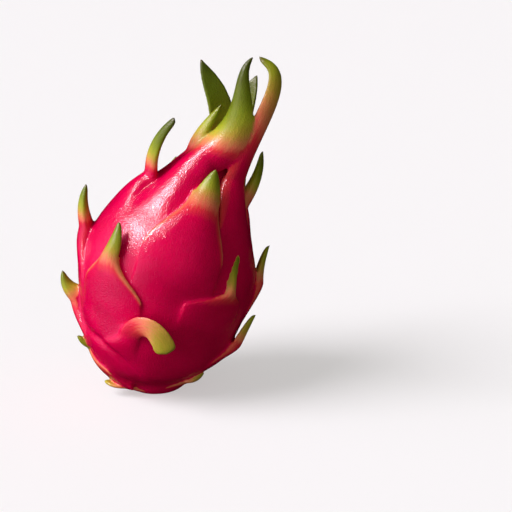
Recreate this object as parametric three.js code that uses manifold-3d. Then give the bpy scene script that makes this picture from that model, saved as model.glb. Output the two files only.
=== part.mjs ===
import * as THREE from "three";
import { mergeVertices } from "three/addons/utils/BufferGeometryUtils.js";
import Module from "manifold-3d";

// A whole ripe dragon fruit, standing on the small flat spot at its stem end.
// Millimetres, +Z up, the origin in the middle of the flat spot. The crown leans towards +X,
// and -Y is the front. The fruit is one body: its scales grow out of the skin.

// Driving dimensions
const BODY_DIAMETER = 87;
const BODY_LENGTH = 134; // along the curved axis, from the stem end to the neck
const WIDEST_AT = 64; // along the axis, from the stem end
const NECK_RADIUS = 7.5;
const LEAN_LOW = -3; // degrees from upright, at the stem end
const LEAN_HIGH = 33.5; // and at the neck
const STEM_END_X = 0.4; // where the axis starts
const FULLNESS = 1.3; // above the widest place: 1 falls off evenly, more keeps the body full
const FLAT_CUT = 3; // how much the flat spot takes off the stem end
const STEM_WAIST = 0.2; // how much the skin draws in above the stem end, as a share of its radius
const STEM_WAIST_AT = 9;
const STEM_WAIST_SPREAD = 5.5;

// Mesh fineness
const BODY_SIDES = 40;
const BODY_STEPS = 20;
const SHIELD_STEPS = 6;
const TIP_STEPS = 7;
const OUTER_POINTS = 7;
const INNER_POINTS = 4;

// The form that all scales share
const SHIELD_SINK = 1.2; // how far the lower end of a shield lies under the skin
const SHIELD_FLARE_SHARE = 0.5; // share of a shield's length over which it widens
const SHIELD_SWELL = 1.4; // how much the middle of a shield stands over its edges
const ROOT_DEPTH = 3.2; // how deep a shield's underside lies in the flesh
const EDGE_THICKNESS = 0.9;
const TIP_THICKNESS = 2.4;
const TIP_HALF_WIDTH = 1.3;
const ARCH = 0.7; // height of the outer face over its edges, as a share of the half width
const TAPER = 1.5; // 1 narrows a tip evenly, more keeps it wide for longer
const POINTED_END = 10; // the larger, the squarer the end of a tip
const BLUNT_END = 40;

// Each scale has a shield on the skin and a free tip. turn and at place its shoulder, where the tip
// leaves the skin: degrees about the axis from the front, towards +X, and mm along the axis.
// half and drop are the shield's half width and length, flare is the share of that length over which
// it widens, skew turns its lower end, raise lifts its edge at the shoulder, and sink is how deep its
// lower end lies under the skin, or below 0 how high over it. neck and thick are the tip's half width
// and thickness at its root, waist holds half widths further along it, blunt widens its end, and
// roll turns it about its own middle line, in degrees by its end.
// bend holds the points that pull the tip's curve on its way to tip, where it ends.
const SCALES = [
  // lowest ring, round the stem end
  {
    name: "foot_left", turn: -52, at: 8, half: 9, drop: 6, raise: 0.6,
    neck: 6, thick: 2.4, arch: 0.3, bend: [[-23, -15, 4]], tip: [-26, -12, 7],
  },
  {
    name: "foot_right", turn: 50, at: 12, half: 10, drop: 10, raise: 0.6,
    neck: 5, thick: 2.6, arch: 0.3, bend: [[22, -18, 8]], tip: [25, -17, 13],
  },
  {
    name: "low_left", turn: -86, at: 24, half: 21, drop: 14, flare: 0.4, raise: 0.6, sink: -4,
    neck: 5, thick: 4, arch: 0.3, bend: [[-37.3, -8, 23.5]], tip: [-39.6, -8, 29.8],
  },
  {
    name: "low_front", turn: -17, at: 42, half: 11, drop: 20, skew: -12, raise: 1,
    neck: 5.5, thick: 2.6, blunt: 0.8, arch: 0.2, roll: 45,
    bend: [[-4.5, -48, 51], [5, -53, 48.5]], tip: [9, -51, 35],
  },
  {
    name: "low_right", turn: 74, at: 36, half: 13, drop: 24, raise: 2,
    neck: 5, thick: 4, bend: [[46, -12, 32]], tip: [51, -12, 42],
  },
  {
    name: "low_back", turn: 138, at: 30, half: 13, drop: 20, raise: 2,
    neck: 5, thick: 4, bend: [[30, 36, 30]], tip: [31, 41, 39],
  },
  {
    name: "low_back_left", turn: -142, at: 30, half: 13, drop: 20, raise: 2,
    neck: 5, thick: 4, bend: [[-26, 33, 34]], tip: [-29, 38, 42],
  },
  // middle of the body
  {
    name: "left_hook", turn: -90, at: 43, half: 14, drop: 26, raise: 1.6,
    neck: 5, thick: 11, bend: [[-50, 0, 54]], tip: [-47, 0, 62],
  },
  {
    name: "front_left", turn: -39, at: 75, half: 19, drop: 34, skew: 3, raise: 2.9,
    neck: 4.8, thick: 5, bend: [[-16.5, -38, 86]], tip: [-13.8, -33, 95],
  },
  {
    name: "front_right", turn: 8, at: 110, half: 20, drop: 54, skew: -3, raise: 4.8,
    neck: 6.5, thick: 7, bend: [[30.5, -26, 111]], tip: [32, -23, 118],
  },
  {
    name: "front_far_right", turn: 44, at: 73, half: 17, drop: 34, flare: 0.3, skew: -8, raise: 1.8,
    neck: 3, thick: 4, bend: [[40.5, -30, 67]], tip: [42.7, -24, 75.4],
  },
  {
    name: "left_horn", turn: -88, at: 74, half: 15, drop: 32, raise: 2,
    neck: 6, thick: 7.5, bend: [[-39, -3, 99]], tip: [-33, -3, 107],
  },
  {
    name: "right_mid", turn: 98, at: 70, half: 15, drop: 30, raise: 2,
    neck: 5, thick: 5, bend: [[54, 6, 60]], tip: [58, 7, 73],
  },
  {
    name: "back_mid_left", turn: -138, at: 62, half: 16, drop: 32, raise: 2.5,
    neck: 5, thick: 6, bend: [[-27, 34, 74]], tip: [-26, 36, 86],
  },
  {
    name: "back_mid", turn: 176, at: 88, half: 18, drop: 38, raise: 3,
    neck: 6, thick: 6, bend: [[21, 36, 97]], tip: [26, 32, 108],
  },
  {
    name: "back_mid_right", turn: 142, at: 62, half: 15, drop: 30, raise: 2.5,
    neck: 5, thick: 6, bend: [[38, 38, 66]], tip: [42, 38, 80],
  },
  // shoulder, under the crown
  {
    name: "left_tall", turn: -76, at: 105, half: 15, drop: 34, raise: 0.3,
    neck: 6, thick: 6.5, blunt: 0.15, bend: [[-2.2, -12, 131]], tip: [11.8, -14, 141.5],
  },
  {
    name: "right_short", turn: 88, at: 109, half: 11, drop: 26, raise: 1.5,
    neck: 5, thick: 8, bend: [[56.5, 2, 109]], tip: [54.5, 2, 122.5],
  },
  {
    name: "back_tall_left", turn: -158, at: 91, half: 14, drop: 26, raise: 2,
    neck: 5, thick: 5, bend: [[5, 33.5, 105]], tip: [9.5, 32, 114.5],
  },
  {
    name: "back_tall_right", turn: 132, at: 95, half: 13, drop: 26, raise: 2,
    neck: 5, thick: 6, bend: [[43, 28, 94]], tip: [46, 27, 105],
  },
  // crown
  {
    name: "crown_left", turn: -70, at: 122, half: 12, drop: 28, raise: 0.6,
    neck: 6.5, thick: 9, bend: [[20, -5, 134]], tip: [34, -5, 146.5],
  },
  {
    name: "crown_front", turn: -28, at: 127, half: 14, drop: 42, flare: 0.9, raise: 1.5,
    neck: 10, thick: 9, waist: [13, 2, 3.5], arch: 0.85,
    bend: [[43.5, -16, 134], [44, -17, 152], [40, -15, 164]], tip: [49.6, -12, 170],
  },
  {
    name: "crown_right", turn: 54, at: 121, half: 15, drop: 42, flare: 0.8, raise: 3.5,
    neck: 7.5, thick: 7, waist: [6.5, 5.5, 6], blunt: 0.1,
    bend: [[52, -14, 136], [76, -9, 163]], tip: [52.5, -6, 169.5],
  },
  {
    name: "crown_back_left", turn: -160, at: 128, half: 11, drop: 22, raise: 1,
    neck: 6, thick: 3.4, waist: [7.2, 6.8], arch: 0.4,
    bend: [[38.5, 12, 143], [27.5, 13, 152]], tip: [23.5, 14, 166.3],
  },
  {
    name: "crown_back", turn: 150, at: 128, half: 11, drop: 20, raise: 1,
    neck: 7, thick: 5, taper: 2.6, bend: [[47.5, 12, 144]], tip: [51.7, 12, 158.5],
  },
];

const radians = THREE.MathUtils.degToRad;
const smooth = (x) => x * x * (3 - 2 * x);
const mix = (a, b, share) => a + (b - a) * share;

// Lean of the axis at a height along it, in radians. The axis is an arc in the XZ plane.
const LEAN_PER_MM = radians(LEAN_HIGH - LEAN_LOW) / BODY_LENGTH;
const leanAt = (s) => radians(LEAN_LOW) + LEAN_PER_MM * s;

function axisPoint(s) {
  const start = radians(LEAN_LOW);
  return new THREE.Vector3(
    STEM_END_X + (Math.cos(start) - Math.cos(leanAt(s))) / LEAN_PER_MM,
    0,
    -FLAT_CUT + (Math.sin(leanAt(s)) - Math.sin(start)) / LEAN_PER_MM,
  );
}

// Radius of the body at a height along the axis: an ellipse up to the widest place, drawn in above
// the stem end, and a half wave from there to the neck.
function bodyRadius(s) {
  const widest = BODY_DIAMETER / 2;
  if (s < WIDEST_AT) {
    const drawnIn = STEM_WAIST * Math.exp(-(((s - STEM_WAIST_AT) / STEM_WAIST_SPREAD) ** 2));
    return widest * Math.sqrt(Math.max(0, 1 - (1 - s / WIDEST_AT) ** 2)) * (1 - drawnIn);
  }
  const up = Math.min(1, (s - WIDEST_AT) / (BODY_LENGTH - WIDEST_AT));
  return mix(NECK_RADIUS, widest, (1 + Math.cos(Math.PI * up ** FULLNESS)) / 2);
}

// The point of the skin at a turn about the axis and a height along it.
function skinPoint(turn, s) {
  const lean = leanAt(s);
  const r = bodyRadius(s);
  return axisPoint(s).add(
    new THREE.Vector3(
      r * Math.sin(turn) * Math.cos(lean),
      -r * Math.cos(turn),
      -r * Math.sin(turn) * Math.sin(lean),
    ),
  );
}

// Directions on the skin: up along the fruit, across towards +turn, and out.
function skinFrame(turn, s) {
  const step = 0.2;
  const up = skinPoint(turn, s + step).sub(skinPoint(turn, s - step)).normalize();
  const lean = leanAt(s);
  const across = new THREE.Vector3(
    Math.cos(turn) * Math.cos(lean),
    Math.sin(turn),
    -Math.cos(turn) * Math.sin(lean),
  );
  return { up, across, out: across.clone().cross(up).normalize() };
}

const wasm = await Module();
wasm.setup();

// A three.js geometry as a solid.
function solidOf(geometry) {
  const bare = geometry.clone();
  bare.deleteAttribute("normal");
  bare.deleteAttribute("uv");
  const merged = mergeVertices(bare, 1e-5);
  return new wasm.Manifold(
    new wasm.Mesh({
      numProp: 3,
      vertProperties: merged.attributes.position.array,
      triVerts: new Uint32Array(merged.index.array),
    }),
  );
}

// A closed solid through rings with equal numbers of points, each end closed by a fan.
function loft(rings) {
  const count = rings[0].length;
  const points = rings.flat();
  const low = points.length;
  const high = low + 1;
  for (const ring of [rings[0], rings.at(-1)]) {
    const centre = new THREE.Vector3();
    ring.forEach((p) => centre.addScaledVector(p, 1 / count));
    points.push(centre);
  }
  const faces = [];
  const top = (rings.length - 1) * count;
  for (let j = 0; j < count; j++) {
    const next = (j + 1) % count;
    for (let a = 0; a < top; a += count) {
      faces.push(a + j, a + next, a + count + next, a + j, a + count + next, a + count + j);
    }
    faces.push(low, next, j, high, top + j, top + next);
  }
  const geometry = new THREE.BufferGeometry().setFromPoints(points);
  geometry.setIndex(faces);
  return solidOf(geometry);
}

// The smooth body under the scales.
function bodySolid() {
  const rings = [];
  for (let i = 0; i <= BODY_STEPS; i++) {
    const share = i / BODY_STEPS;
    const s = BODY_LENGTH * mix(share, smooth(share), 0.5);
    const at = THREE.MathUtils.clamp(s, 0.4, BODY_LENGTH);
    const ring = [];
    for (let j = 0; j < BODY_SIDES; j++) ring.push(skinPoint((2 * Math.PI * j) / BODY_SIDES, at));
    rings.push(ring);
  }
  return loft(rings);
}

// A value on the curve that starts at the first value, ends at the last, and is pulled by the others.
function curveValue(values, share) {
  let level = values;
  while (level.length > 1) {
    const previous = level;
    level = previous.slice(1).map((value, i) => mix(previous[i], value, share));
  }
  return level[0];
}

// The same for points.
function curvePoint(points, share) {
  const along = (axis) => curveValue(points.map((point) => point[axis]), share);
  return new THREE.Vector3(along("x"), along("y"), along("z"));
}

// How far the outer face stands over its edges at a place across, from -1 to 1, as a share.
const dome = (across) => Math.max(0, 1 - across * across) ** 0.75;

// One ring of a scale: points over its outer face from side to side, and back along its inner face.
function scaleRing(outer, inner) {
  const ring = [];
  for (let i = 0; i < OUTER_POINTS; i++) ring.push(outer((2 * i) / (OUTER_POINTS - 1) - 1));
  for (let i = 0; i < INNER_POINTS; i++) ring.push(inner(0.86 - (1.72 * i) / (INNER_POINTS - 1)));
  return ring;
}

// The shield of a scale, wrapped on the skin below its shoulder. down runs from 1 at its lower end to 0.
function shieldRing(scale, down) {
  const s = Math.max(1.5, scale.at - scale.drop * down);
  const widening = smooth(Math.min(1, down / (scale.flare ?? SHIELD_FLARE_SHARE)));
  const half = mix(scale.neck, scale.half, widening);
  const edge = mix(scale.raise, -(scale.sink ?? SHIELD_SINK), down ** 1.5);
  const swell = mix((scale.arch ?? ARCH) * scale.neck, SHIELD_SWELL * (1 - down), widening);
  const place = (across, height) => {
    const middle = radians(scale.turn + (scale.skew ?? 0) * widening);
    const turn = middle + (across * half) / Math.max(bodyRadius(s), scale.half);
    return skinPoint(turn, s).addScaledVector(skinFrame(turn, s).out, height);
  };
  return scaleRing(
    (across) => place(across, edge + swell * dome(across)),
    (across) => place(across, -ROOT_DEPTH),
  );
}

// The free tip of a scale: a horn with an arched outer face whose middle line is the curve.
function tipRings(scale) {
  const turn = radians(scale.turn);
  const root = skinFrame(turn, scale.at);
  const arch = scale.arch ?? ARCH;
  const start = skinPoint(turn, scale.at).addScaledVector(root.out, scale.raise + arch * scale.neck);
  const points = [start, ...[...scale.bend, scale.tip].map((xyz) => new THREE.Vector3(...xyz))];
  const endHalf = scale.neck * (scale.blunt ?? 0) + TIP_HALF_WIDTH;
  const across = root.across.clone();
  const rings = [];
  for (let i = 1; i <= TIP_STEPS; i++) {
    const share = i / TIP_STEPS;
    const spine = curvePoint(points, share);
    const along = spine.clone().sub(curvePoint(points, share - 0.01)).normalize();
    across.addScaledVector(along, -across.dot(along)).normalize();
    const roll = radians(scale.roll ?? 0) * share;
    const wide = across.clone().applyAxisAngle(along, -roll);
    const out = wide.clone().cross(along);
    const rounding = Math.sqrt(1 - 0.93 * share ** (scale.blunt ? BLUNT_END : POINTED_END));
    const half = rounding * (scale.waist
      ? curveValue([scale.neck, ...scale.waist, endHalf], share)
      : mix(scale.neck, endHalf, share ** (scale.taper ?? TAPER)));
    const thick = mix(scale.thick, TIP_THICKNESS, share) * rounding;
    const edge = EDGE_THICKNESS * rounding;
    const height = arch * half;
    const place = (x, depth) =>
      spine.clone().addScaledVector(wide, x * half).addScaledVector(out, -depth);
    rings.push(scaleRing(
      (x) => place(x, height * (1 - dome(x))),
      (x) => place(x, height + edge + (thick - height - edge) * (1 - x * x)),
    ));
  }
  return rings;
}

function scaleSolid(scale) {
  const rings = [];
  for (let i = 0; i <= SHIELD_STEPS; i++) rings.push(shieldRing(scale, 1 - i / SHIELD_STEPS));
  return loft([...rings, ...tipRings(scale)]);
}

// Everything below the surface that the fruit stands on.
function groundSolid() {
  const deep = 40;
  const wide = 4 * BODY_DIAMETER;
  return solidOf(new THREE.BoxGeometry(wide, wide, deep).translate(0, 0, -deep / 2));
}

function fruitMesh() {
  let fruit = bodySolid();
  for (const scale of SCALES) fruit = fruit.add(scaleSolid(scale));
  fruit = fruit.subtract(groundSolid());
  const { vertProperties, triVerts } = fruit.getMesh();
  const geometry = new THREE.BufferGeometry();
  geometry.setAttribute("position", new THREE.BufferAttribute(vertProperties, 3));
  geometry.setIndex(new THREE.BufferAttribute(triVerts, 1));
  geometry.computeVertexNormals();
  const skin = new THREE.MeshStandardMaterial({ color: 0xc8104a, roughness: 0.4, metalness: 0 });
  const mesh = new THREE.Mesh(geometry, skin);
  mesh.name = "dragon_fruit";
  return mesh;
}

const fruit = new THREE.Group();
fruit.add(fruitMesh());

export default fruit;
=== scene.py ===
import math

import bpy
import numpy as np
from mathutils import Matrix, Vector
from mathutils.kdtree import KDTree


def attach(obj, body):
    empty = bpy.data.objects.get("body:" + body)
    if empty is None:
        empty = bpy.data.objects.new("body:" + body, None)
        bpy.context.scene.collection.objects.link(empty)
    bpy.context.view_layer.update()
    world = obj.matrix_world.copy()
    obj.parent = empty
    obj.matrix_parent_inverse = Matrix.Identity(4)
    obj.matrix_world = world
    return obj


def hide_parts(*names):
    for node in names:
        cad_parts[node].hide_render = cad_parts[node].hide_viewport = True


# A whole ripe dragon fruit standing on a pale floor. The solid gives the size and the place, and one
# finer skin, grown from the same formulas, is shown in its stead.
# Lengths are in millimetres until a mesh is made.

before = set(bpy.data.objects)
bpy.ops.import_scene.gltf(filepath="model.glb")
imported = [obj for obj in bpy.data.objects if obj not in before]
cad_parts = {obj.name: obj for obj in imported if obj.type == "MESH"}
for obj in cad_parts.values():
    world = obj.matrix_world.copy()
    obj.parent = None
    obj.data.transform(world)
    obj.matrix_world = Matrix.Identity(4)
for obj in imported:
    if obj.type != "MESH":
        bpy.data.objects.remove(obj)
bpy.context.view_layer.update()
NODE = "dragon_fruit"
SKIN = "dragon_fruit_skin"
MM = 0.001

# The body, as in the part's source
BODY_DIAMETER = 87
BODY_LENGTH = 134  # along the curved axis, from the stem end to the neck
WIDEST_AT = 64  # along the axis, from the stem end
NECK_RADIUS = 7.5
LEAN_LOW = -3  # degrees from upright, at the stem end
LEAN_HIGH = 33.5  # and at the neck
STEM_END_X = 0.4  # where the axis starts
FULLNESS = 1.3  # above the widest place: 1 falls off evenly, more keeps the body full
FLAT_CUT = 3  # how much the flat spot takes off the stem end
STEM_WAIST = 0.2  # how much the skin draws in above the stem end, as a share of its radius
STEM_WAIST_AT = 9
STEM_WAIST_SPREAD = 5.5

# The form that all scales share, as in the part's source
SHIELD_SINK = 1.2  # how far the lower end of a shield lies under the skin
SHIELD_SINK_POWER = 1.5  # above 1, most of that is at the lower end
SHIELD_FLARE_SHARE = 0.5  # share of a shield's length over which it widens
SHIELD_SWELL = 1.4  # how much the middle of a shield stands over its edges
LOWEST_SHIELD_RING = 1.5  # along the axis
ROOT_DEPTH = 3.2  # how deep a shield's underside lies in the flesh
EDGE_THICKNESS = 0.9
TIP_THICKNESS = 2.4
TIP_HALF_WIDTH = 1.3
ARCH = 0.7  # height of the outer face over its edges, as a share of the half width
DOME_POWER = 0.75  # below 1, the arch is fuller than a parabola
TAPER = 1.5  # 1 narrows a tip evenly, more keeps it wide for longer
POINTED_END, BLUNT_END = 10, 40  # the larger, the squarer the end of a tip
END_CLOSING = 0.93  # 1 would close a tip to a point
INNER_REACH = 0.86  # how far the inner face goes to the sides, as a share of the half width

# Each scale has a shield on the skin and a free tip. turn and at place its shoulder, where the tip
# leaves the skin: degrees about the axis from the front, towards +X, and mm along the axis.
# half and drop are the shield's half width and length, flare is the share of that length over which
# it widens, skew turns its lower end, lift raises its edge at the shoulder, and sink is how deep its
# lower end lies under the skin, or below 0 how high over it. neck and thick are the tip's half width
# and thickness at its root, waist holds half widths further along it, blunt widens its end, and
# roll turns it about its own middle line, in degrees by its end.
# bend holds the points that pull the tip's curve on its way to tip, where it ends.
# The rest is colour: green is the share of the free tip at which it turns green, fade draws that
# change out, slant tilts it across the scale, and rim is the strength of the pale edge.
SCALES = {
    # lowest ring, round the stem end
    "foot_left": dict(
        turn=-52, at=8, half=9, drop=6, lift=0.6,
        neck=6, thick=2.4, arch=0.3, bend=[(-23, -15, 4)], tip=(-26, -12, 7),
        green=0.5,
    ),
    "foot_right": dict(
        turn=50, at=12, half=10, drop=10, lift=0.6,
        neck=5, thick=2.6, arch=0.3, bend=[(22, -18, 8)], tip=(25, -17, 13),
        green=0.5,
    ),
    "low_left": dict(
        turn=-86, at=24, half=21, drop=14, flare=0.4, lift=0.6, sink=-4,
        neck=5, thick=4, arch=0.3, bend=[(-37.3, -8, 23.5)], tip=(-39.6, -8, 29.8),
        green=0.1,
    ),
    "low_front": dict(
        turn=-17, at=42, half=11, drop=20, skew=-12, lift=1,
        neck=5.5, thick=2.6, blunt=0.8, arch=0.2, roll=45,
        bend=[(-4.5, -48, 51), (5, -53, 48.5)], tip=(9, -51, 35),
        green=0.64, fade=2.2, rim=0,
    ),
    "low_right": dict(
        turn=74, at=36, half=13, drop=24, lift=2,
        neck=5, thick=4, bend=[(46, -12, 32)], tip=(51, -12, 42),
        green=0.4, rim=0.8,
    ),
    "low_back": dict(
        turn=138, at=30, half=13, drop=20, lift=2,
        neck=5, thick=4, bend=[(30, 36, 30)], tip=(31, 41, 39),
        green=0.3,
    ),
    "low_back_left": dict(
        turn=-142, at=30, half=13, drop=20, lift=2,
        neck=5, thick=4, bend=[(-26, 33, 34)], tip=(-29, 38, 42),
        green=0.3,
    ),
    # middle of the body
    "left_hook": dict(
        turn=-90, at=43, half=14, drop=26, lift=1.6,
        neck=5, thick=11, bend=[(-50, 0, 54)], tip=(-47, 0, 62),
        green=0.2, fade=0.8, rim=0.6,
    ),
    "front_left": dict(
        turn=-39, at=75, half=19, drop=34, skew=3, lift=2.9,
        neck=4.8, thick=5, bend=[(-16.5, -38, 86)], tip=(-13.8, -33, 95),
        green=0.05, fade=0.85,
    ),
    "front_right": dict(
        turn=8, at=110, half=20, drop=54, skew=-3, lift=4.8,
        neck=6.5, thick=7, bend=[(30.5, -26, 111)], tip=(32, -23, 118),
        green=0, rim=0.88,
    ),
    "front_far_right": dict(
        turn=44, at=73, half=17, drop=34, flare=0.3, skew=-8, lift=1.8,
        neck=3, thick=4, bend=[(40.5, -30, 67)], tip=(42.7, -24, 75.4),
        green=0.15, rim=0.5,
    ),
    "left_horn": dict(
        turn=-88, at=74, half=15, drop=32, lift=2,
        neck=6, thick=7.5, bend=[(-39, -3, 99)], tip=(-33, -3, 107),
        green=0.3, fade=0.7, rim=0.6,
    ),
    "right_mid": dict(
        turn=98, at=70, half=15, drop=30, lift=2,
        neck=5, thick=5, bend=[(54, 6, 60)], tip=(58, 7, 73),
        green=0.4, rim=0.8,
    ),
    "back_mid_left": dict(
        turn=-138, at=62, half=16, drop=32, lift=2.5,
        neck=5, thick=6, bend=[(-27, 34, 74)], tip=(-26, 36, 86),
        green=0.35,
    ),
    "back_mid": dict(
        turn=176, at=88, half=18, drop=38, lift=3,
        neck=6, thick=6, bend=[(21, 36, 97)], tip=(26, 32, 108),
        green=0.2,
    ),
    "back_mid_right": dict(
        turn=142, at=62, half=15, drop=30, lift=2.5,
        neck=5, thick=6, bend=[(38, 38, 66)], tip=(42, 38, 80),
        green=0.35,
    ),
    # shoulder, under the crown
    "left_tall": dict(
        turn=-76, at=105, half=15, drop=34, lift=0.3,
        neck=6, thick=6.5, blunt=0.15, bend=[(-2.2, -12, 131)], tip=(11.8, -14, 141.5),
        green=0.25, fade=0.7, rim=0,
    ),
    "right_short": dict(
        turn=88, at=109, half=11, drop=26, lift=1.5,
        neck=5, thick=8, bend=[(56.5, 2, 109)], tip=(54.5, 2, 122.5),
        green=0.25, fade=0.8,
    ),
    "back_tall_left": dict(
        turn=-158, at=91, half=14, drop=26, lift=2,
        neck=5, thick=5, bend=[(5, 33.5, 105)], tip=(9.5, 32, 114.5),
        green=0.3,
    ),
    "back_tall_right": dict(
        turn=132, at=95, half=13, drop=26, lift=2,
        neck=5, thick=6, bend=[(43, 28, 94)], tip=(46, 27, 105),
        green=0.4,
    ),
    # crown
    "crown_left": dict(
        turn=-70, at=122, half=12, drop=28, lift=0.6,
        neck=6.5, thick=9, bend=[(20, -5, 134)], tip=(34, -5, 146.5),
        green=0.35, fade=1.3,
    ),
    "crown_front": dict(
        turn=-28, at=127, half=14, drop=42, flare=0.9, lift=1.5,
        neck=10, thick=9, waist=[13, 2, 3.5], arch=0.85,
        bend=[(43.5, -16, 134), (44, -17, 152), (40, -15, 164)], tip=(49.6, -12, 170),
        green=0.14, rim=0, slant=-0.8,
    ),
    "crown_right": dict(
        turn=54, at=121, half=15, drop=42, flare=0.8, lift=3.5,
        neck=7.5, thick=7, waist=[6.5, 5.5, 6], blunt=0.1,
        bend=[(52, -14, 136), (76, -9, 163)], tip=(52.5, -6, 169.5),
        green=0.5, fade=3, rim=0.75, slant=0.6,
    ),
    "crown_back_left": dict(
        turn=-160, at=128, half=11, drop=22, lift=1,
        neck=6, thick=3.4, waist=[7.2, 6.8], arch=0.4,
        bend=[(38.5, 12, 143), (27.5, 13, 152)], tip=(23.5, 14, 166.3),
        green=0.1,
    ),
    "crown_back": dict(
        turn=150, at=128, half=11, drop=20, lift=1,
        neck=7, thick=5, taper=2.6, bend=[(47.5, 12, 144)], tip=(51.7, 12, 158.5),
        green=0.2,
    ),
}

# A soft fold pressed into the skin, from the left side round to the foot: degrees about the axis and
# mm along it
FOLD = [
    (-84, 52), (-78, 42), (-68, 35.5), (-50, 34.5), (-38, 33),
    (-29, 29.5), (-22, 25), (-15, 20), (-10, 15),
]
FOLD_DEPTH, FOLD_WIDTH = 1.5, 2.6
FOLD_POINTS = 160

# Fineness of the skin
SKIN_CELL = 0.5
MOST_FACES = 190000
BODY_SIDES, BODY_RINGS = 180, 200
RING_CROWDING = 1.3  # above 1, the body's rings stand closer at the stem end
FIRST_RING = 0.3  # the body's lowest, along the axis
SHIELD_RINGS, TIP_RINGS = 40, 60
OUTER_POINTS, INNER_POINTS = 33, 17
LENGTH_STEPS = 20  # for measuring a tip's curve
STEP_ON_SKIN, STEP_ALONG_TIP = 0.2, 0.01  # how far apart two points are, to find a direction from them

# Softness of the skin
JOIN_ROUNDS = 7  # how long the joins between scales and body are evened out
SOFT_ROUNDS = 12  # how long the creases are worn down
SOFT_REACH = 0.3  # over this share of a free tip, this ends
FOOT_KEPT = 2  # and over this height towards the flat spot

# What the skin's colour is told at each point: how far past the green's start it lies, in cm, the
# share of the free tip, the closeness to a rim, and the grain's two coordinates, across and along, in mm
GREENNESS, TIPWARD, RIM, GRAIN_ACROSS, GRAIN_ALONG = range(5)
NOTES = 5
BODY_GREENNESS = -3.0  # pink all over
GRAIN_APART = 200  # from one scale's grain to the next one's
RIM_WIDTH = 8  # at the top of a shield, narrowing downwards
LEAST_RIM = 0.01  # of that width
RIM_SHARE, RIM_FADE = 0.7, 0.5  # where a shield's rim ends, and over what share of its length it fades
NEIGHBOURS = 6  # the nearest points, which tell a place of the skin what it is
NEARNESS_EASE = 0.02  # square mm, so that none of them drowns the others
SPREAD_ROUNDS = 2
MM_PER_CM = 10

# The skin's colours from pink to green, 0 to 1, and the greenness that the ends stand for
PINK_TO_GREEN = [
    (0.0, (208, 0, 64)),
    (0.16, (210, 0, 62)),
    (0.22, (220, 52, 56)),
    (0.267, (230, 122, 80)),
    (0.313, (212, 144, 72)),
    (0.367, (182, 160, 46)),
    (0.44, (152, 160, 28)),
    (0.547, (122, 138, 14)),
    (0.667, (100, 117, 8)),
    (1.0, (66, 80, 4)),
]
PINKEST, GREENEST = -2.0, 4.0
RIM_WEAKEST, RIM_STRONGEST = -1.75, -0.25  # the greenness that a rim counts as
FIBRE_STREAKS, BLOTCH_STREAKS = 0.5, 0.4  # how much greenness the grain adds and takes
RED_PATCH_LIGHT, RED_PATCH_DEEP = (255, 255, 255), (214, 190, 205)
RED_PATCH_STRENGTH = 0.6
DRY_BROWN = (74, 60, 24)
DRY_FROM = 0.93  # the share of a free tip at which it begins

# The skin's gloss: the pink's roughness from one extreme of its speckles to the other, how much rougher
# and less shiny the green is, and where between pink and green that begins and is complete
ROUGHNESS_LOW, ROUGHNESS_HIGH, GREEN_ROUGHER = 0.13, 0.21, 0.22
SHINE, GREEN_SHINE_LESS = 0.25, 0.05
DULLER_FROM, DULLER_TO = 0.24, 0.4

# How fine the skin's grain is: repeats a metre, and repeats a mm across and along a scale
BLOTCHES, SPECKLES = 60, 1650
FIBRES, FINE_FIBRES = (1.1, 0.06, 1), (3.2, 0.12, 1)

# The photograph: the camera that took it and the fruit's place in it
PHOTO_SIZE = 512
LENS, SENSOR = 85, 36
ELEVATION = math.radians(15)
DISTANCE = 610
AIM = np.array([5.0, 0.0, 62.0])  # a point of the fruit
AIM_PIXEL = (165, 270)  # and where the photograph shows it

# Its light, each lamp with the way to it, its strength, its width in degrees and its tint: a broad one
# above on the left, a broader one low on the left, a faint one in front and a small one for the sheen
LAMPS = {
    "key": ((-0.69, -0.27, 0.67), 3.5, 40, (1, 0.97, 1.2)),
    "fill": ((-0.96, -0.30, 0.15), 1.9, 80, (1, 0.85, 1.3)),
    "front": ((0.05, -0.97, 0.12), 0.7, 60, (1, 0.85, 1.1)),
    "sheen": ((-0.615, -0.29, 0.73), 9.5, 18, (1, 0.84, 0.9)),
}
AMBIENT = 0.16

# The floor, which glows a little, so that it stays pale round the fruit's shadow
FLOOR_HALF = 6.0  # metres
FLOOR_COLOUR = (0.43, 0.43, 0.36, 1)
FLOOR_GLOW = 0.48
PALE = (1, 0.985, 0.98, 1)


def mix(a, b, share):
    return a + (b - a) * share


def smooth(x):
    x = np.clip(x, 0, 1)
    return x * x * (3 - 2 * x)


def unit(vectors):
    return vectors / np.linalg.norm(vectors, axis=-1, keepdims=True)


# The body's surface

LEAN_PER_MM = math.radians(LEAN_HIGH - LEAN_LOW) / BODY_LENGTH


def lean_at(s):
    return math.radians(LEAN_LOW) + LEAN_PER_MM * s


def axis_point(s):
    start = math.radians(LEAN_LOW)
    x = STEM_END_X + (np.cos(start) - np.cos(lean_at(s))) / LEAN_PER_MM
    z = -FLAT_CUT + (np.sin(lean_at(s)) - np.sin(start)) / LEAN_PER_MM
    return np.stack([x, 0 * x, z], -1)


def body_radius(s):
    widest = BODY_DIAMETER / 2
    low = widest * np.sqrt(np.clip(1 - (1 - s / WIDEST_AT) ** 2, 0, 1))
    low *= 1 - STEM_WAIST * np.exp(-(((s - STEM_WAIST_AT) / STEM_WAIST_SPREAD) ** 2))
    up = np.clip((s - WIDEST_AT) / (BODY_LENGTH - WIDEST_AT), 0, 1)
    high = mix(NECK_RADIUS, widest, (1 + np.cos(np.pi * up**FULLNESS)) / 2)
    return np.where(s < WIDEST_AT, low, high)


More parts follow.
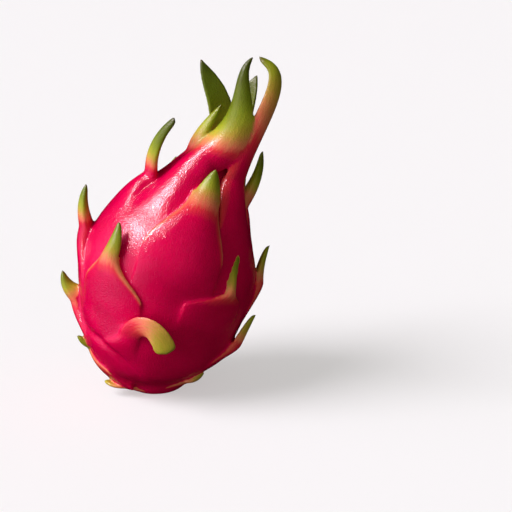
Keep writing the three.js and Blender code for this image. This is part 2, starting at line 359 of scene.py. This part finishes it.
def skin_point(turn, s):
    turn, s = np.broadcast_arrays(np.asarray(turn, float), np.asarray(s, float))
    lean = lean_at(s)
    way = np.stack([np.sin(turn) * np.cos(lean), -np.cos(turn), -np.sin(turn) * np.sin(lean)], -1)
    return axis_point(s) + body_radius(s)[..., None] * way


def skin_frame(turn, s):
    """Directions on the skin: up along the fruit, across towards +turn, and out."""
    turn, s = np.broadcast_arrays(np.asarray(turn, float), np.asarray(s, float))
    up = unit(skin_point(turn, s + STEP_ON_SKIN) - skin_point(turn, s - STEP_ON_SKIN))
    lean = lean_at(s)
    across = np.stack([np.cos(turn) * np.cos(lean), np.sin(turn), -np.cos(turn) * np.sin(lean)], -1)
    return up, across, unit(np.cross(across, up))


# The scales


def dome(across):
    return np.clip(1 - across * across, 0, 1) ** DOME_POWER


def curve_point(points, share):
    level = [np.asarray(p, float) for p in points]
    while len(level) > 1:
        level = [mix(a, b, share) for a, b in zip(level, level[1:])]
    return level[0]


def curve_length(points):
    along = [curve_point(points, i / LENGTH_STEPS) for i in range(LENGTH_STEPS + 1)]
    return sum(np.linalg.norm(b - a) for a, b in zip(along, along[1:]))


# Places across a scale: over its outer face from side to side, and back along its inner face
OUTER = np.sin(np.linspace(-np.pi / 2, np.pi / 2, OUTER_POINTS))
INNER = np.linspace(INNER_REACH, -INNER_REACH, INNER_POINTS)
AROUND = np.concatenate([OUTER, INNER])


def shield_ring(scale, down):
    """One ring of a shield, at a share of the way down it, and its half width."""
    s = max(LOWEST_SHIELD_RING, scale["at"] - scale["drop"] * down)
    widening = smooth(down / scale.get("flare", SHIELD_FLARE_SHARE))
    half = mix(scale["neck"], scale["half"], widening)
    edge = mix(scale["lift"], -scale.get("sink", SHIELD_SINK), down**SHIELD_SINK_POWER)
    swell = mix(scale.get("arch", ARCH) * scale["neck"], SHIELD_SWELL * (1 - down), widening)
    middle = math.radians(scale["turn"] + scale.get("skew", 0) * widening)
    radius = max(float(body_radius(np.float64(s))), scale["half"])

    def place(across, height):
        turn = middle + across * half / radius
        return skin_point(turn, s) + skin_frame(turn, s)[2] * np.reshape(height, (-1, 1))

    outer = place(OUTER, edge + swell * dome(OUTER))
    inner = place(INNER, -ROOT_DEPTH + 0 * INNER)
    return np.vstack([outer, inner]), half


def tip_rings(scale):
    """The rings of a free tip: the share of the way along it, the ring's points and its half width."""
    turn = math.radians(scale["turn"])
    _, across, out = skin_frame(turn, scale["at"])
    arch = scale.get("arch", ARCH)
    start = skin_point(turn, scale["at"]) + out * (scale["lift"] + arch * scale["neck"])
    points = [start, *scale["bend"], scale["tip"]]
    end_half = scale["neck"] * scale.get("blunt", 0) + TIP_HALF_WIDTH
    end_power = BLUNT_END if "blunt" in scale else POINTED_END
    for i in range(1, TIP_RINGS + 1):
        share = i / TIP_RINGS
        spine = curve_point(points, share)
        along = unit(spine - curve_point(points, share - STEP_ALONG_TIP))
        across = unit(across - along * across.dot(along))
        out = np.cross(across, along)
        roll = math.radians(scale.get("roll", 0)) * share
        wide = across * math.cos(roll) + out * math.sin(roll)
        out = out * math.cos(roll) - across * math.sin(roll)
        rounding = math.sqrt(1 - END_CLOSING * share**end_power)
        if "waist" in scale:
            half = curve_point([scale["neck"], *scale["waist"], end_half], share) * rounding
        else:
            half = mix(scale["neck"], end_half, share ** scale.get("taper", TAPER)) * rounding
        thick = mix(scale["thick"], TIP_THICKNESS, share) * rounding
        edge = EDGE_THICKNESS * rounding
        height = arch * half
        outer_depth = height * (1 - dome(OUTER))
        inner_depth = height + edge + (thick - height - edge) * (1 - INNER**2)
        depth = np.concatenate([outer_depth, inner_depth])[:, None]
        yield share, spine + wide * AROUND[:, None] * half - out * depth, half


class Shells:
    """Closed shells through rings of points, gathered for one mesh, each point with its notes."""

    def __init__(self):
        self.points, self.faces, self.notes, self.owner, self.count = [], [], [], [], 0

    def loft(self, rings, notes):
        """rings: (rows, around, 3). notes: (rows, around, NOTES)."""
        rows, around = rings.shape[:2]
        index = self.count + np.arange(rows * around).reshape(rows, around)
        right = np.roll(index, -1, axis=1)
        quads = np.stack([index[:-1], right[:-1], right[1:], index[1:]], -1).reshape(-1, 4)
        self.faces += quads.tolist()
        self.faces += [index[0, ::-1].tolist(), index[-1].tolist()]
        self.points.append(rings.reshape(-1, 3))
        self.notes.append(notes.reshape(rows * around, -1))
        self.owner.append(np.full(rows * around, len(self.owner)))
        self.count += rows * around


def body_shell(shells):
    s = BODY_LENGTH * np.sin(np.linspace(0.0, 1.0, BODY_RINGS) * np.pi / 2) ** RING_CROWDING
    s = np.clip(s, FIRST_RING, BODY_LENGTH)
    turn = np.linspace(0, 2 * np.pi, BODY_SIDES, endpoint=False)
    rings = skin_point(turn[None, :], s[:, None])
    notes = np.zeros((*rings.shape[:2], NOTES))
    notes[..., GREENNESS] = BODY_GREENNESS
    notes[..., GRAIN_ACROSS] = turn[None, :] * BODY_DIAMETER / 2
    notes[..., GRAIN_ALONG] = s[:, None]
    shells.loft(rings, notes)


def scale_shell(shells, number, scale):
    root = skin_point(math.radians(scale["turn"]), scale["at"])
    length = curve_length([root, *scale["bend"], scale["tip"]])

    def note(share, along, rim, half):
        row = np.zeros((len(AROUND), NOTES))
        past_green = along - scale["green"] * length + scale.get("slant", 0) * AROUND * half
        row[:, GREENNESS] = past_green / MM_PER_CM / scale.get("fade", 1)
        row[:, TIPWARD] = share
        from_side = (1 - np.abs(AROUND)) * half
        width = RIM_WIDTH * max(rim, LEAST_RIM)
        row[:, RIM] = scale.get("rim", 1) * min(1, 2 * rim) * smooth(1 - from_side / width)
        row[:, GRAIN_ACROSS] = AROUND * half + GRAIN_APART * number
        row[:, GRAIN_ALONG] = along
        return row

    rings, notes = [], []
    for i in range(SHIELD_RINGS + 1):
        down = 1 - i / SHIELD_RINGS
        ring, half = shield_ring(scale, down)
        rim = float(smooth((RIM_SHARE - down) / RIM_FADE))
        rings.append(ring)
        notes.append(note(0, -scale["drop"] * down, rim, half))
    for share, ring, half in tip_rings(scale):
        rings.append(ring)
        notes.append(note(share, share * length, 1.0, half))
    shells.loft(np.array(rings), np.array(notes))


# The skin over all of it


def settle(obj):
    """Works the object's modifiers into its mesh."""
    depsgraph = bpy.context.evaluated_depsgraph_get()
    mesh = bpy.data.meshes.new_from_object(obj.evaluated_get(depsgraph))
    obj.modifiers.clear()
    obj.data = mesh


def grown_together(points, faces):
    """The shells as one closed skin."""
    mesh = bpy.data.meshes.new(SKIN)
    mesh.from_pydata([tuple(p) for p in points * MM], [], faces)
    mesh.update()
    obj = bpy.data.objects.new(SKIN, mesh)
    bpy.context.collection.objects.link(obj)
    joined = obj.modifiers.new("joined", "REMESH")
    joined.mode = "VOXEL"
    joined.voxel_size = SKIN_CELL * MM
    evened = obj.modifiers.new("evened", "SMOOTH")
    evened.factor, evened.iterations = 0.5, JOIN_ROUNDS
    settle(obj)
    lighter = obj.modifiers.new("lighter", "DECIMATE")
    lighter.ratio = min(1, MOST_FACES / (2 * len(obj.data.polygons)))
    settle(obj)
    return obj


def notes_at(place, points, notes, shell):
    """For each place, what the nearest points of the nearest shell tell, the nearer the louder."""
    tree = KDTree(len(points))
    for i, p in enumerate(points):
        tree.insert(p, i)
    tree.balance()
    told = np.empty((len(place), notes.shape[1]))
    for row, p in enumerate(place):
        found = tree.find_n(p, NEIGHBOURS)
        index = np.array([f[1] for f in found])
        weight = 1 / (np.array([f[2] for f in found]) ** 2 + NEARNESS_EASE)
        weight *= shell[index] == shell[index[0]]
        told[row] = weight @ notes[index] / weight.sum()
    return told


def neighbours_mean(mesh):
    """A function that gives, for one value at each vertex, the mean of its neighbours' values."""
    edges = np.empty(len(mesh.edges) * 2, int)
    mesh.edges.foreach_get("vertices", edges)
    a, b = edges.reshape(-1, 2).T
    both, other = np.concatenate([a, b]), np.concatenate([b, a])
    count = len(mesh.vertices)
    degree = np.maximum(np.bincount(both, minlength=count), 1)
    return lambda values: np.bincount(both, weights=values[other], minlength=count) / degree


def spread(mesh, notes):
    """The notes evened out between neighbours, but for the grain, which may jump from scale to scale."""
    mean = neighbours_mean(mesh)
    for column in (GREENNESS, TIPWARD, RIM):
        for _ in range(SPREAD_ROUNDS):
            notes[:, column] = mix(notes[:, column], mean(notes[:, column]), 0.5)
    return notes


def softened(mesh, place, weights):
    """The vertices' places with the creases worn down, the more so the larger the weight."""
    mean = neighbours_mean(mesh)
    weights = 0.5 * weights * smooth(place[:, 2] / MM / FOOT_KEPT)
    for _ in range(SOFT_ROUNDS):
        place = np.stack([mix(place[:, axis], mean(place[:, axis]), weights) for axis in range(3)], -1)
    return place


def folded(place):
    """The vertices' places with the fold pressed in."""
    knots = np.arange(len(FOLD))
    step = np.linspace(0, knots[-1], FOLD_POINTS)
    turns, heights = np.array(FOLD).T
    turn, at = np.radians(np.interp(step, knots, turns)), np.interp(step, knots, heights)
    path, out = skin_point(turn, at), skin_frame(turn, at)[2]
    depth = FOLD_DEPTH * np.sqrt(np.sin(np.pi * step / knots[-1]))
    reach = 3 * FOLD_WIDTH
    near = np.all((place / MM > path.min(0) - reach) & (place / MM < path.max(0) + reach), axis=1)
    away = np.linalg.norm(place[near, None] / MM - path, axis=-1)
    nearest = away.argmin(1)
    press = depth[nearest] * np.exp(-((away.min(1) / FOLD_WIDTH) ** 2))
    place[near] -= out[nearest] * press[:, None] * MM
    return place


def add_attribute(mesh, name, values):
    layer = mesh.attributes.new(name, "FLOAT", "POINT")
    layer.data.foreach_set("value", values.astype(np.float32))


def fruit_skin():
    shells = Shells()
    body_shell(shells)
    for number, scale in enumerate(SCALES.values()):
        scale_shell(shells, number, scale)
    points, notes = np.vstack(shells.points), np.vstack(shells.notes)
    obj = grown_together(points, shells.faces)

    mesh = obj.data
    place = np.empty(len(mesh.vertices) * 3)
    mesh.vertices.foreach_get("co", place)
    place = place.reshape(-1, 3)
    place[:, 2] = np.maximum(place[:, 2], 0)  # the flat spot
    told = spread(mesh, notes_at(place / MM, points, notes, np.concatenate(shells.owner)))
    place = folded(softened(mesh, place, smooth(1 - told[:, TIPWARD] / SOFT_REACH)))
    mesh.vertices.foreach_set("co", place.ravel())

    add_attribute(mesh, "greenness", told[:, GREENNESS])
    add_attribute(mesh, "tipward", told[:, TIPWARD])
    add_attribute(mesh, "rim", told[:, RIM])
    grain = np.stack([told[:, GRAIN_ACROSS], told[:, GRAIN_ALONG], np.zeros(len(told))], -1)
    layer = mesh.attributes.new("grain", "FLOAT_VECTOR", "POINT")
    layer.data.foreach_set("vector", grain.astype(np.float32).ravel())
    mesh.shade_smooth()
    return obj


# Materials


class Nodes:
    """Short calls for building a material's node tree."""

    def __init__(self, material):
        material.use_nodes = True
        self.tree = material.node_tree
        self.shader = self.tree.nodes["Principled BSDF"]

    def node(self, kind):
        return self.tree.nodes.new(kind)

    def put(self, socket, value):
        if isinstance(value, bpy.types.NodeSocket):
            self.tree.links.new(value, socket)
        else:
            socket.default_value = value

    def attribute(self, name, output="Fac"):
        made = self.node("ShaderNodeAttribute")
        made.attribute_name = name
        return made.outputs[output]

    def math(self, operation, *values):
        made = self.node("ShaderNodeMath")
        made.operation = operation
        for socket, value in zip(made.inputs, values):
            self.put(socket, value)
        return made.outputs[0]

    def span(self, value, low, high, to_low=0.0, to_high=1.0):
        made = self.node("ShaderNodeMapRange")
        for socket, v in zip(made.inputs, (value, low, high, to_low, to_high)):
            self.put(socket, v)
        return made.outputs[0]

    def noise(self, vector, scale, detail):
        made = self.node("ShaderNodeTexNoise")
        self.put(made.inputs["Vector"], vector)
        self.put(made.inputs["Scale"], scale)
        self.put(made.inputs["Detail"], detail)
        return made.outputs[0]

    def evenly(self, noise, amount):
        """The noise as so much, half of it added and half of it taken."""
        return self.math("MULTIPLY_ADD", noise, amount, -amount / 2)

    def stretched(self, vector, scale):
        made = self.node("ShaderNodeMapping")
        self.put(made.inputs["Vector"], vector)
        self.put(made.inputs["Scale"], scale)
        return made.outputs[0]

    def blend(self, share, a, b, kind="MIX"):
        made = self.node("ShaderNodeMix")
        made.data_type, made.blend_type = "RGBA", kind
        self.put(made.inputs[0], share)
        self.put(made.inputs[6], a)
        self.put(made.inputs[7], b)
        return made.outputs[2]

    def ramp(self, value, stops):
        made = self.node("ShaderNodeValToRGB")
        self.put(made.inputs[0], value)
        elements = made.color_ramp.elements
        while len(elements) < len(stops):
            elements.new(0.5)
        for element, (at, rgb) in zip(elements, stops):
            element.position = at
            element.color = colour(rgb)
        return made.outputs[0]

    def bump(self, height, strength, distance, normal=None):
        made = self.node("ShaderNodeBump")
        self.put(made.inputs["Height"], height)
        self.put(made.inputs["Strength"], strength)
        self.put(made.inputs["Distance"], distance)
        if normal is not None:
            self.put(made.inputs["Normal"], normal)
        return made.outputs[0]


def colour(rgb):
    """A colour as the eye reads it, 0 to 255, turned into light."""
    seen = [value / 255 for value in rgb]
    light = [c / 12.92 if c <= 0.04 else ((c + 0.055) / 1.055) ** 2.4 for c in seen]
    return (*light, 1)


def skin_material():
    material = bpy.data.materials.new(SKIN)
    n = Nodes(material)
    spot = n.node("ShaderNodeTexCoord").outputs["Object"]
    grain = n.attribute("grain", "Vector")
    fibres = n.noise(n.stretched(grain, FIBRES), scale=1, detail=3)
    fine_fibres = n.noise(n.stretched(grain, FINE_FIBRES), scale=1, detail=2)
    blotches = n.noise(spot, BLOTCHES, detail=3)
    speckles = n.noise(spot, SPECKLES, detail=0)

    # how far a place is from pink to green, streaked along the scale, and warm along a shield's rim
    reach = n.math("ADD", n.attribute("greenness"), n.evenly(fibres, FIBRE_STREAKS))
    reach = n.math("ADD", reach, n.evenly(blotches, BLOTCH_STREAKS))
    rim = n.math("MULTIPLY_ADD", n.attribute("rim"), RIM_STRONGEST - RIM_WEAKEST, RIM_WEAKEST)
    share = n.span(n.math("MAXIMUM", reach, rim), PINKEST, GREENEST)
    tint = n.ramp(share, PINK_TO_GREEN)

    # patches of deeper and lighter red, and dry brown on the ends of the tips
    patches = n.blend(n.span(blotches, 0.35, 0.7), colour(RED_PATCH_LIGHT), colour(RED_PATCH_DEEP))
    tint = n.blend(RED_PATCH_STRENGTH, tint, patches, "MULTIPLY")
    dry = n.span(n.attribute("tipward"), DRY_FROM, 1.0)
    brown = n.math("MULTIPLY", dry, n.span(blotches, 0.3, 0.6, 0.2, 0.8))
    n.put(n.shader.inputs["Base Color"], n.blend(brown, tint, colour(DRY_BROWN)))

    # waxy where it is pink, duller towards the green
    duller = n.span(share, DULLER_FROM, DULLER_TO)
    rough = n.span(speckles, 0.3, 0.7, ROUGHNESS_LOW, ROUGHNESS_HIGH)
    n.put(n.shader.inputs["Roughness"], n.math("MULTIPLY_ADD", duller, GREEN_ROUGHER, rough))
    n.put(n.shader.inputs["Specular IOR Level"], n.math("MULTIPLY_ADD", duller, -GREEN_SHINE_LESS, SHINE))
    n.put(n.shader.inputs["Subsurface Weight"], 0.08)
    n.put(n.shader.inputs["Subsurface Radius"], (1.0, 0.25, 0.2))
    n.put(n.shader.inputs["Subsurface Scale"], 3 * MM)

    # pits all over, and lines along each scale
    pits = n.bump(speckles, strength=0.52, distance=0.3 * MM)
    lines = n.bump(n.math("ADD", fibres, fine_fibres), strength=0.2, distance=0.4 * MM, normal=pits)
    n.put(n.shader.inputs["Normal"], lines)
    return material


def floor_material():
    material = bpy.data.materials.new("floor")
    n = Nodes(material)
    n.put(n.shader.inputs["Base Color"], FLOOR_COLOUR)
    n.put(n.shader.inputs["Emission Color"], PALE)
    n.put(n.shader.inputs["Emission Strength"], FLOOR_GLOW)
    n.put(n.shader.inputs["Roughness"], 0.9)
    n.put(n.shader.inputs["Specular IOR Level"], 0.1)
    return material


# The scene


def add_floor():
    corners = [(x * FLOOR_HALF, y * FLOOR_HALF, 0) for x, y in ((-1, -1), (1, -1), (1, 1), (-1, 1))]
    mesh = bpy.data.meshes.new("floor")
    mesh.from_pydata(corners, [], [(0, 1, 2, 3)])
    mesh.materials.append(floor_material())
    floor = bpy.data.objects.new("floor", mesh)
    bpy.context.collection.objects.link(floor)
    floor.visible_glossy = False
    floor.visible_diffuse = False


def add_camera():
    focal = PHOTO_SIZE * LENS / SENSOR
    right = np.array([1.0, 0, 0])
    forward = np.array([0, math.cos(ELEVATION), -math.sin(ELEVATION)])
    down = np.array([0, -math.sin(ELEVATION), -math.cos(ELEVATION)])
    x, y = ((pixel - PHOTO_SIZE / 2) / focal * DISTANCE for pixel in AIM_PIXEL)
    place = (AIM - x * right - y * down - DISTANCE * forward) * MM
    data = bpy.data.cameras.new("camera")
    data.lens, data.sensor_width = LENS, SENSOR
    camera = bpy.data.objects.new("camera", data)
    bpy.context.collection.objects.link(camera)
    camera.matrix_world = Matrix.Translation(place) @ Matrix.Rotation(math.pi / 2 - ELEVATION, 4, "X")
    bpy.context.scene.camera = camera


def add_lamp(name):
    source, strength, width, tint = LAMPS[name]
    data = bpy.data.lights.new(name, "SUN")
    data.energy, data.angle, data.color = strength, math.radians(width), tint
    lamp = bpy.data.objects.new(name, data)
    bpy.context.collection.objects.link(lamp)
    lamp.rotation_euler = Vector(source).to_track_quat("Z", "Y").to_euler()
    return lamp


def add_lights():
    lamps = {name: add_lamp(name) for name in LAMPS}
    lamps["key"].visible_glossy = False
    lamps["front"].visible_glossy = False
    lamps["sheen"].visible_diffuse = False  # it shows in reflections only
    world = bpy.data.worlds.new("world")
    bpy.context.scene.world = world
    world.cycles_visibility.glossy = False
    world.use_nodes = True
    background = world.node_tree.nodes["Background"]
    background.inputs["Color"].default_value = PALE
    background.inputs["Strength"].default_value = AMBIENT
    bpy.context.scene.view_settings.view_transform = "Standard"


fruit = fruit_skin()
fruit.data.materials.append(skin_material())
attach(fruit, "root")
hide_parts(NODE)
add_floor()
add_lights()
add_camera()
